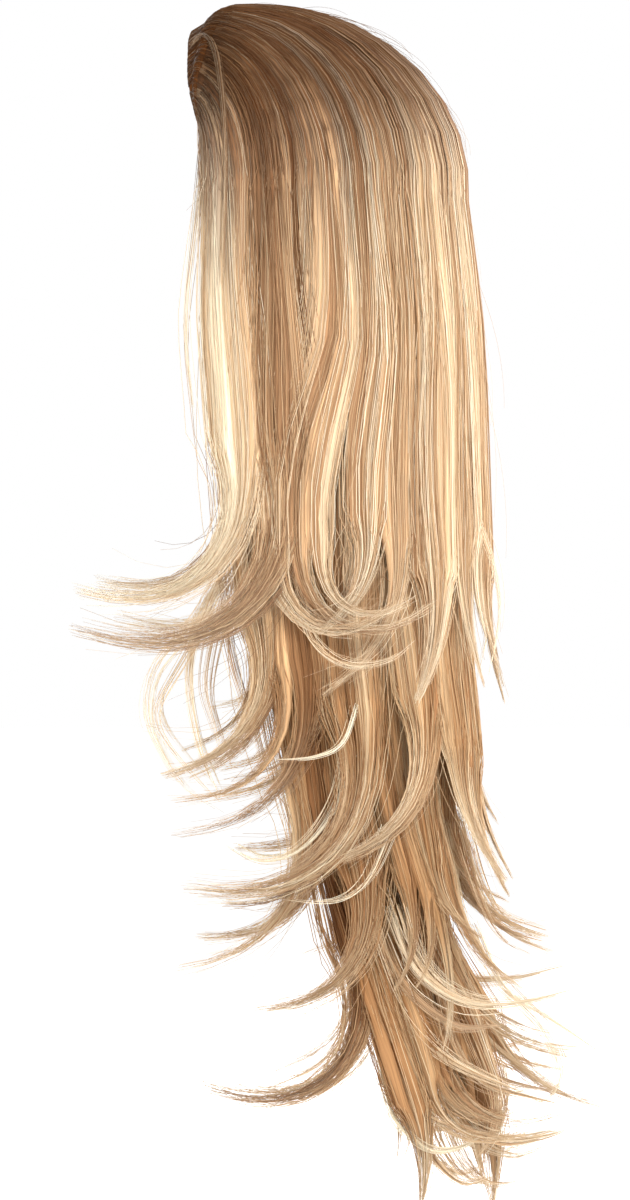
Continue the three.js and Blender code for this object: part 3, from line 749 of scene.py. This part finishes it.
def make_clumps(row, lock, span, tips):
    """Thick clumps that fill a lock: where they lie, and their rings of points."""
    steps, sides = row["clump_steps"], row["sides"]
    u = np.linspace(-CLUMP["span"], CLUMP["span"], CLUMPS)
    u = u + rng.uniform(-CLUMP["shift"], CLUMP["shift"], CLUMPS)
    v = rng.uniform(CLUMP["low"], CLUMP["high"], CLUMPS)
    tip = np.abs(u[:, None] - tips["u"]).argmin(1)
    own = {key: value[tip] for key, value in tips.items()}
    leaves = own["leaves"]
    wave = mix(rng.uniform(-1, 1, (CLUMPS, 4)), rng.uniform(-1, 1, 4), 0.5)
    run = hair_runs(row, lock, row["start"], leaves, steps[0])
    sway = waves(run, wave)
    share = np.linspace(0, 1, steps[1] + 1)[1:]
    cut = rng.uniform(*CLUMP_REACH, CLUMPS)[:, None] * share
    thin = gathered(cut, CLUMP["point"]) * mix(1.0, CLUMP["end"], share)
    angles = np.arange(sides) * 2 * np.pi / sides
    ribs = []
    for angle in angles:
        rib_u = u[:, None] + sway + CLUMP["wide"] * math.cos(angle)
        rib_u = np.clip(rib_u, -CLUMP["edge"], CLUMP["edge"])
        rib_v = v[:, None] + CLUMP["deep"] * math.sin(angle) + 0 * run
        rib = lying_points(row, lock, span, rib_u, rib_v, run, leaves[:, None])
        ribs.append(np.concatenate([rib, turned_ends(own, rib[:, -1], cut, thin)], 1))
    ribs = np.stack(ribs, 2)
    at = mix(span[0], span[1], (u + 1) / 2)
    pale = varied(read(TONE_BANDS, "around", at, "pale"), CLUMP_VARIES)
    colours = shade(pale - BODY_DARKER, ribs.mean(2), end_share(run, share), row["under_light"])
    whole_run = np.concatenate([run, 1 + leaves[:, None] + FLICK_RUN * share[None]], 1)
    colours = np.repeat(colours[:, :, None], sides, 2)
    body = dict(points=ribs, colours=colours, flow=flow_map(angles, whole_run * FALL_LENGTH))
    return dict(u=u, tip=tip, pale=pale, wave=wave), body


def strand_ends(own, last, share, lock):
    """Turned ends of strands, of which a few are loose and leave the tip of their lock."""
    count = len(last)
    loose = (rng.random(count) < LOOSE_SHARE) * rng.random(count) ** 2
    loose = np.minimum(loose, MOST_LOOSE)
    cut = (1 - STRAND_CUT * rng.random(count) ** 1.5)[:, None] * share
    turn = rng.normal(0, END["turn"], count) + rng.normal(0, END["loose_turn"], count) * loose
    turn = own["turn"] * (1 + turn)
    aim = own["aim"] + rng.normal(0, END["aim"], count)
    aim = aim + rng.normal(0, END["loose_aim"], count) * loose / lock["flick"]
    point = END["point"] + END["wider"] * rng.random(count) ** 2 + END["loose_point"] * loose
    own = dict(own, turn=turn, aim=aim)
    return turned_ends(own, last, cut, gathered(cut, point[:, None]))


def make_strands(row, lock, span, tips, clump):
    """Single strands over the clumps of a lock."""
    left = lock["around"] < 180
    count = int(row["strands"] * (1 if left else RIGHT_SHARE))
    steps = row["strand_steps"]
    of = rng.integers(0, CLUMPS, count)
    own = {key: value[clump["tip"][of]] for key, value in tips.items()}
    edge = STRAND["edge"]
    u = np.clip(clump["u"][of] + rng.normal(0, STRAND["spread"], count), -edge, edge)
    v = np.clip(rng.uniform(row["inmost"], STRAND["top"], count), STRAND["low"], STRAND["high"])
    leaves = own["leaves"] + rng.uniform(*STRAND_LEAVES, count)
    begin = max(row["start"] + STRAND_START, row["seen"])
    if begin < 1:
        run = hair_runs(row, lock, begin, leaves, steps[0])
    else:
        first = begin - 1 + rng.uniform(0, STRAND_STAGGER, (count, 1))
        run = 1 + mix(first, leaves[:, None], np.linspace(0, 1, steps[0])[None])
    wave = rng.uniform(-1, 1, (count, 4))
    sway_u = waves(run, clump["wave"][of]) + one_wave(STRAND_WAVES[0], run, wave)
    sway_v = one_wave(STRAND_WAVES[1], run, wave[:, 2:])
    parted = ease((run - 1 - row["parts"]) / STRAND["widen_over"])
    crossing = (rng.random(count) < CROSSING_SHARE) * rng.normal(0, STRAND["cross"], count)
    crossing = crossing[:, None] * ease((run - STRAND["cross_from"]) / leaves[:, None])
    u = u[:, None] * mix(1, STRAND["widen"], parted) + crossing
    lying = lying_points(row, lock, span, u + sway_u, v[:, None] + sway_v, run, leaves[:, None])
    share = np.linspace(0, 1, steps[1] + 1)[1:]
    path = np.concatenate([lying, strand_ends(own, lying[:, -1], share, lock)], 1)
    pale = varied(clump["pale"][of], STRAND_VARIES)
    share = end_share(run, share)
    colours = shade(pale, path, share, row["under_light"])
    taper = mix(1.0, STRAND_TIP, ease((share - TAPER_FROM) / (1 - TAPER_FROM)))
    radius = STRAND_RADIUS * taper * rng.uniform(*STRAND_THICK, (count, 1))
    return dict(paths=path, radius=radius, colours=colours, left=np.full(count, left))


def set_inputs(tree, node, inputs):
    """Sets inputs of a shader node, each to a value or to the output of another node."""
    for key, value in inputs.items():
        if isinstance(value, bpy.types.NodeSocket):
            tree.links.new(value, node.inputs[key])
        else:
            node.inputs[key].default_value = value


def add_node(tree, kind, inputs, **settings):
    """Adds a shader node and gives its outputs."""
    node = tree.nodes.new("ShaderNode" + kind)
    for key, value in settings.items():
        setattr(node, key, value)
    set_inputs(tree, node, inputs)
    return node.outputs


def shader(name, base, roughness, specular):
    """New material, with its node tree and the node of its surface."""
    material = bpy.data.materials.new(name)
    material.use_nodes = True
    tree = material.node_tree
    surface = tree.nodes["Principled BSDF"]
    set_inputs(tree, surface, {"Roughness": roughness, "Specular IOR Level": specular,
                               "Base Color": (*linear(base), 1)})
    return material, tree, surface


def noise(tree, vector, scale, detail=2.0, roughness=0.5):
    inputs = {"Vector": vector, "Scale": scale, "Detail": detail, "Roughness": roughness}
    return add_node(tree, "TexNoise", inputs)["Fac"]


def ramp(tree, value, low, high, begin=0.3, finish=0.7):
    inputs = {"Value": value, "From Min": begin, "From Max": finish, "To Min": low, "To Max": high}
    return add_node(tree, "MapRange", inputs)["Result"]


def stretched(tree, vector, scale):
    return add_node(tree, "VectorMath", {0: vector, 1: scale}, operation="MULTIPLY")["Vector"]


def multiplied(tree, colour, factor):
    return add_node(tree, "VectorMath", {0: colour, "Scale": factor}, operation="SCALE")["Vector"]


def plain_colour(tree, tone):
    output = add_node(tree, "RGB", {})[0]
    output.default_value = (*linear(tone), 1)
    return output


def relief(tree, height, strength, distance):
    inputs = {"Height": height, "Strength": strength, "Distance": distance}
    return add_node(tree, "Bump", inputs)["Normal"]


def attribute(tree, name):
    return add_node(tree, "Attribute", {}, attribute_name=name)


def clump_material(name, specular):
    """Hair in bulk: the tone of its clump, with fine lines that run along it."""
    material, tree, surface = shader(name, TONES["honey"], 0.6, specular)
    flow = attribute(tree, "flow")["Vector"]
    lines = noise(tree, stretched(tree, flow, (1.0, 1.0, 0.012)), 1500, 3.0, 0.6)
    streaks = noise(tree, stretched(tree, flow, (1.0, 1.0, 0.01)), 420)
    colour = attribute(tree, "tone")["Color"]
    colour = multiplied(tree, colour, ramp(tree, lines, 0.62, 1.34))
    colour = multiplied(tree, colour, ramp(tree, streaks, 0.8, 1.2))
    set_inputs(tree, surface, {"Base Color": colour, "Normal": relief(tree, lines, 0.7, 0.0004)})
    return material


def strand_material(name, specular):
    """Single hairs: the tone of each strand."""
    material, tree, surface = shader(name, TONES["gold"], 0.45, specular)
    set_inputs(tree, surface, {"Base Color": attribute(tree, "tone")["Color"]})
    return material


def comb_material():
    """Moulded comb plastic, slightly clouded."""
    material, tree, surface = shader("comb_plastic", COMB_TONE, 0.4, 0.4)
    cloud = noise(tree, add_node(tree, "TexCoord", {})["Object"], 90, 3.0, 0.6)
    colour = multiplied(tree, plain_colour(tree, COMB_TONE), ramp(tree, cloud, 0.55, 1.4))
    set_inputs(tree, surface, {"Base Color": colour, "Roughness": ramp(tree, cloud, 0.32, 0.5)})
    return material


def net_material():
    """Net of the cap, with its holes as a darker relief."""
    material, tree, surface = shader("cap_net", CAP_TONE, 0.9, 0.2)
    inputs = {"Vector": attribute(tree, "flow")["Vector"], "Scale": 420}
    edge = add_node(tree, "TexVoronoi", inputs, feature="DISTANCE_TO_EDGE")["Distance"]
    holes = ramp(tree, edge, 1.5, 0.55, 0.0, 0.18)
    colour = multiplied(tree, plain_colour(tree, CAP_TONE), holes)
    set_inputs(tree, surface, {"Base Color": colour, "Normal": relief(tree, holes, 0.5, 0.0005)})
    return material


def add_rows(bulk, fine):
    """Locks and strands of every row of hair."""
    for row_name, row in ROWS.items():
        locks = table(LOCK_COLUMNS, LOCKS[row_name])
        middles = [(one["around"] + two["around"]) / 2 for one, two in zip(locks, locks[1:])]
        edges = [row["begin"], *middles, row["end"]]
        bodies, hairs = [], []
        for lock, span in zip(locks, zip(edges, edges[1:])):
            tips = make_tips(row, lock, span)
            clump, body = make_clumps(row, lock, span, tips)
            bodies.append(body)
            hairs.append(make_strands(row, lock, span, tips, clump))
        piece = ring_object(row_name.replace("layer", "locks"), **joined(bodies))
        finish_piece(piece, bulk, row_name)
        hairs = joined(hairs)
        left = hairs.pop("left")
        for side, keep in (("left", left), ("right", ~left)):
            own = {key: value[keep] for key, value in hairs.items()}
            piece = tubes(row_name.replace("layer", "strands_" + side), **own)
            finish_piece(piece, fine, row_name)


def roll_ring(turn, angle, swell=1.0):
    """Points round the hair roll that covers the cap's front edge."""
    size = mix(1.0, ROLL_END, (turn / PART_FAN) ** 4) * swell
    wide = np.degrees(ROLL_WIDTH * size / HEAD_HALF[2]) / 2
    middle = edge_reach(turn) + np.degrees(SEWN_GAP / HEAD_HALF[2]) + wide / swell
    half = ROLL_HEIGHT * size / 2
    reach = middle + wide * np.cos(angle)
    return over_head(cap_way(turn, reach), SEWN_GAP + half / swell + half * np.sin(angle))


def add_roll_body(bulk):
    """Hair in bulk over the cap's front edge."""
    row = ROWS["crown_layer"]
    around = np.linspace(row["begin"], row["end"], ROLL_STEPS)[:, None]
    wound = np.radians(np.linspace(*ROLL_WOUND, ROLL_SIDES))[None]
    front = roll_ring(*np.broadcast_arrays(turn_at(around), wound), ROLL_SWELL)
    run, depth = np.array(ROLL_BACK).T[:, None]
    back = hair_point(*np.broadcast_arrays(around, run), depth)
    ring = np.concatenate([front, back], 1)[None]
    flow = np.zeros(ring.shape)
    flow[..., 0] = around * ROLL_FLOW[0]
    flow[..., 2] = np.arange(ring.shape[2]) * ROLL_FLOW[1]
    colours = np.broadcast_to(linear(ROOT_TONE), ring.shape)
    piece = ring_object("front_roll_body", ring, colours, flow)
    finish_piece(piece, bulk, "front_roll")


def add_roll_strands(fine):
    """Strands wound over the cap's front edge and combed back into the crown."""
    count, kind = ROLL_STRANDS, ROLL_STRAND
    row = ROWS["crown_layer"]
    around = rng.uniform(row["begin"] + 1, row["end"] - 1, count)
    turn = turn_at(around) + rng.normal(0, kind["turn"], count)
    wound, back = kind["steps"]
    slant = rng.normal(0, kind["slant"], (count, 1)) * np.linspace(1, 0, wound)
    wound = np.radians(np.linspace(*kind["wound"], wound))[None].repeat(count, 0)
    first = roll_ring(np.clip(turn[:, None] + slant, -PART_FAN, PART_FAN), wound,
                      rng.uniform(*kind["swell"], (count, 1)))
    share = np.linspace(0, 1, back)[None]
    run = mix(kind["begin"], rng.uniform(*kind["finish"], (count, 1)), share)
    rise = mix(*(rng.uniform(*ends, (count, 1)) for ends in kind["rise"]), share)
    sway = rng.normal(0, kind["sway"], (count, 1)) * share ** 2
    second = hair_point(around[:, None] + sway, run, rise)
    path = np.concatenate([first, second], 1)
    pale = varied(read(TONE_BANDS, "around", around, "pale") - BODY_DARKER, STRAND_VARIES)
    colours = shade(pale, path, np.zeros(path.shape[:2]))
    taper = mix(*kind["taper"], np.linspace(0, 1, path.shape[1]))[None]
    radius = STRAND_RADIUS * taper * rng.uniform(*kind["thick"], (count, 1))
    finish_piece(tubes("front_roll_strands", path, radius, colours), fine, "front_roll")


def smooth_path(points, steps):
    """Smooth curve through a few points, at even steps between them."""
    points = np.asarray(points, float)
    at = np.linspace(0, len(points) - 1, steps)
    low = np.minimum(at.astype(int), len(points) - 2)
    t = (at - low)[:, None]
    padded = np.concatenate([2 * points[:1] - points[1:2], points, 2 * points[-1:] - points[-2:-1]])
    a, b, c, d = (padded[low + k] for k in range(4))
    bend = (2 * a - 5 * b + 4 * c - d) * t**2
    return 0.5 * (2 * b + (c - a) * t + bend + (3 * b - a - 3 * c + d) * t**3)


def wisp_line(points, side):
    """Middle line of a wisp in metres. One of the right side is mirrored and moved a little."""
    points = np.array([(x * side, y, z) for x, y, z in points]) / 1000
    if side < 0:
        points = points + rng.normal(0, WISP_MOVED, 3) * [0.3, 1, 1]
    return smooth_path(points, WISP_STEPS)


def wisp_hairs(wisp, path, share):
    """Strands of a wisp, cut to their own lengths."""
    count, steps = path.shape[:2]
    at = (1 - WISP_CUT * rng.random(count))[:, None] * np.linspace(0, steps - 1, steps)
    low = np.minimum(at.astype(int), steps - 2)
    index = np.arange(count)[:, None]
    path = mix(path[index, low], path[index, low + 1], (at - low)[..., None])
    pale = varied(np.full(count, wisp["pale"]), STRAND_VARIES)
    radius = STRAND_RADIUS * mix(1.0, WISP_TIP, share) * rng.uniform(*WISP_THICK, (count, 1))
    colours = shade(pale, path, share, root=wisp.get("root", 1.0))
    return dict(paths=path, radius=radius, colours=colours)


def wisp_bodies(wisp, path, share):
    """Thin locks inside a thick wisp, down to a point."""
    form = WISP_BODY
    thick = mix(form["begin"], 1.0, ease(share / form["full"]))
    thick = thick * (1 + form["end"] - share) ** form["close"]
    radius = form["size"] * wisp["spread"] / 1000 * thick[None].repeat(len(path), 0)
    pale = varied(np.full(len(path), wisp["pale"] - BODY_DARKER), CLUMP_VARIES)
    return dict(paths=path, radius=radius, colours=shade(pale, path, share))


def add_wisps(bulk, fine):
    """Loose wisps that stand clear of the locks, on both sides of the head."""
    share = np.linspace(0, 1, WISP_STEPS)
    closing = mix(1.0, WISP_CLOSING, share ** 0.9)[:, None]
    for side, name in ((1, "left"), (-1, "right")):
        hairs, bodies = [], []
        for wisp in WISPS:
            line = wisp_line(wisp["points"], side)
            offset = rng.normal(0, 1, (wisp["count"], 3)) * wisp["spread"] / 1000
            offset = offset[:, None] * closing
            hairs.append(wisp_hairs(wisp, line + offset, share))
            if wisp["count"] >= THICK_WISP:
                inner = line + np.array(WISP_BODY["places"])[:, None, None] * offset[:2]
                bodies.append(wisp_bodies(wisp, inner, share))
        finish_piece(tubes("wisps_" + name, **joined(hairs)), fine)
        piece = tubes("wisp_locks_" + name, **joined(bodies), sides=6, flat=WISP_BODY["flat"])
        finish_piece(piece, bulk)


def add_flyaways(fine):
    """Single short hairs that stand off the crown and the sides."""
    count, steps = FLYAWAY["count"], FLYAWAY["steps"]
    row = ROWS["crown_layer"]
    around = rng.uniform(row["begin"], row["end"], count)[:, None]
    begin = rng.uniform(*FLYAWAY["begin"], (count, 1))
    share = np.linspace(0, 1, steps)[None]
    run = begin + rng.uniform(*FLYAWAY["run"], (count, 1)) * share
    arc = 4 * share * (1 - share * rng.uniform(*FLYAWAY["fall"], (count, 1)))
    depth = FLYAWAY["depth"] - arc * rng.uniform(*FLYAWAY["rise"], (count, 1))
    drift = rng.normal(0, FLYAWAY["drift"], (count, 1)) * share
    drift = drift + rng.normal(0, FLYAWAY["curl"], (count, 1)) * share ** 2
    path = hair_point(around + drift, run, depth)
    pale = varied(read(TONE_BANDS, "around", around[:, 0], "pale"), STRAND_VARIES)
    colours = shade(pale, path, 0 * run)
    radius = STRAND_RADIUS * mix(*FLYAWAY["thick"], share) * np.ones((count, 1))
    finish_piece(tubes("flyaways", path, radius, colours), fine)


def add_cap():
    """Smooth shell of the cap."""
    across, down = CAP_STEPS
    turn = np.arange(across) * 360 / across
    turn = np.where(turn > 180, turn - 360, turn)
    share = np.arange(1, down + 1) / down
    reach = edge_reach(turn)[None] * share[:, None]
    points, flow = [], []
    for height in (0.0, CAP_WALL):
        top = over_head(cap_way(np.zeros(1), np.zeros(1)), np.full(1, height))
        way = cap_way(np.broadcast_to(turn, reach.shape), reach)
        grid = over_head(way, np.full(reach.shape, height)).reshape(-1, 3)
        points += [top, grid]
        flow += [np.zeros((1, 3)), grid - HEAD_MIDDLE]
    layer = 1 + down * across
    j = np.arange(across)
    near, far = 1 + j, 1 + (j + 1) % across
    i = np.arange(down - 1)[:, None] * across
    quads, fans = [], []
    for base, flip in ((0, False), (layer, True)):
        quad = np.stack([near + i, near + i + across, far + i + across, far + i], -1).reshape(-1, 4)
        fan = np.stack([0 * near, near, far], -1)
        quads.append(base + (quad[:, ::-1] if flip else quad))
        fans.append(base + (fan[:, ::-1] if flip else fan))
    last = (down - 1) * across
    quads.append(np.stack([near + last, near + last + layer, far + last + layer, far + last], -1))
    faces = [np.concatenate(quads), np.concatenate(fans)]
    piece = mesh_object("cap_shell", np.concatenate(points), faces, flow=np.concatenate(flow))
    finish_piece(piece, net_material(), "cap")


def finish_piece(piece, material, node=None):
    piece.data.materials.clear()
    piece.data.materials.append(material)
    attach(piece, "root")
    if node:
        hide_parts(node)


def point_at(obj, place, target):
    obj.location = place
    obj.rotation_euler = Vector(target - place).to_track_quat("-Z", "Y").to_euler()


def placed(name, data, place, target):
    obj = bpy.data.objects.new(name, data)
    bpy.context.collection.objects.link(obj)
    point_at(obj, np.array(place), target)
    return obj


def add_floor():
    """Pale floor under the lowest tips."""
    low = cad_box[0][2] - FLOOR_BELOW
    bpy.ops.mesh.primitive_plane_add(size=FLOOR_SIZE, location=(0, 0, low))
    floor = bpy.context.object
    floor.name = "floor"
    white, tree, surface = shader("floor_white", FLOOR_TONE, 0.9, 0.1)
    set_inputs(tree, surface, {"Emission Color": (1, 1, 1, 1), "Emission Strength": FLOOR_GLOW})
    floor.data.materials.append(white)


def add_world():
    """Soft light from all sides before a white background."""
    world = bpy.data.worlds.new("studio")
    world.use_nodes = True
    tree = world.node_tree
    light = tree.nodes["Background"]
    set_inputs(tree, light, {"Color": (1, 1, 1, 1), "Strength": WORLD_LIGHT})
    backdrop = add_node(tree, "Background", {"Color": (1, 1, 1, 1)})[0]
    seen = add_node(tree, "LightPath", {})["Is Camera Ray"]
    choice = add_node(tree, "MixShader", {0: seen, 1: light.outputs[0], 2: backdrop})[0]
    set_inputs(tree, tree.nodes["World Output"], {"Surface": choice})
    bpy.context.scene.world = world
    bpy.context.scene.view_settings.view_transform = "Standard"


def add_lamps():
    for row in LAMPS:
        lamp = bpy.data.lights.new(row["name"], "AREA")
        lamp.size = row["size"]
        lamp.energy = row["power"]
        placed(row["name"], lamp, row["place"], LAMP_TARGET)


def add_camera():
    """Camera at the photo's side view, far off, with the photo's height in its picture."""
    middle_y = (PHOTO_SIZE[0] / 2 - PHOTO_ORIGIN[0]) * PHOTO_SCALE
    middle_z = (PHOTO_ORIGIN[1] - PHOTO_SIZE[1] / 2) * PHOTO_SCALE
    camera = bpy.data.cameras.new("camera")
    camera.sensor_fit = "VERTICAL"
    camera.sensor_height = CAMERA_SENSOR
    camera.lens = camera.sensor_height * CAMERA_DISTANCE / (PHOTO_SIZE[1] * PHOTO_SCALE)
    camera.clip_end = CAMERA_CLIP
    target = np.array([0, middle_y, middle_z])
    place = (CAMERA_DISTANCE, middle_y, middle_z)
    bpy.context.scene.camera = placed("camera", camera, place, target)


def dress_comb():
    comb = bpy.data.objects["front_comb"]
    comb.data.materials.clear()
    comb.data.materials.append(comb_material())


bulk = clump_material("hair_bulk", 0.08)
fine = strand_material("hair_strand", 0.12)
add_rows(bulk, fine)
add_roll_body(clump_material("root_bulk", 0.0))
add_roll_strands(strand_material("root_strand", 0.02))
add_wisps(bulk, fine)
add_flyaways(fine)
add_cap()
dress_comb()
add_floor()
add_world()
add_lamps()
add_camera()
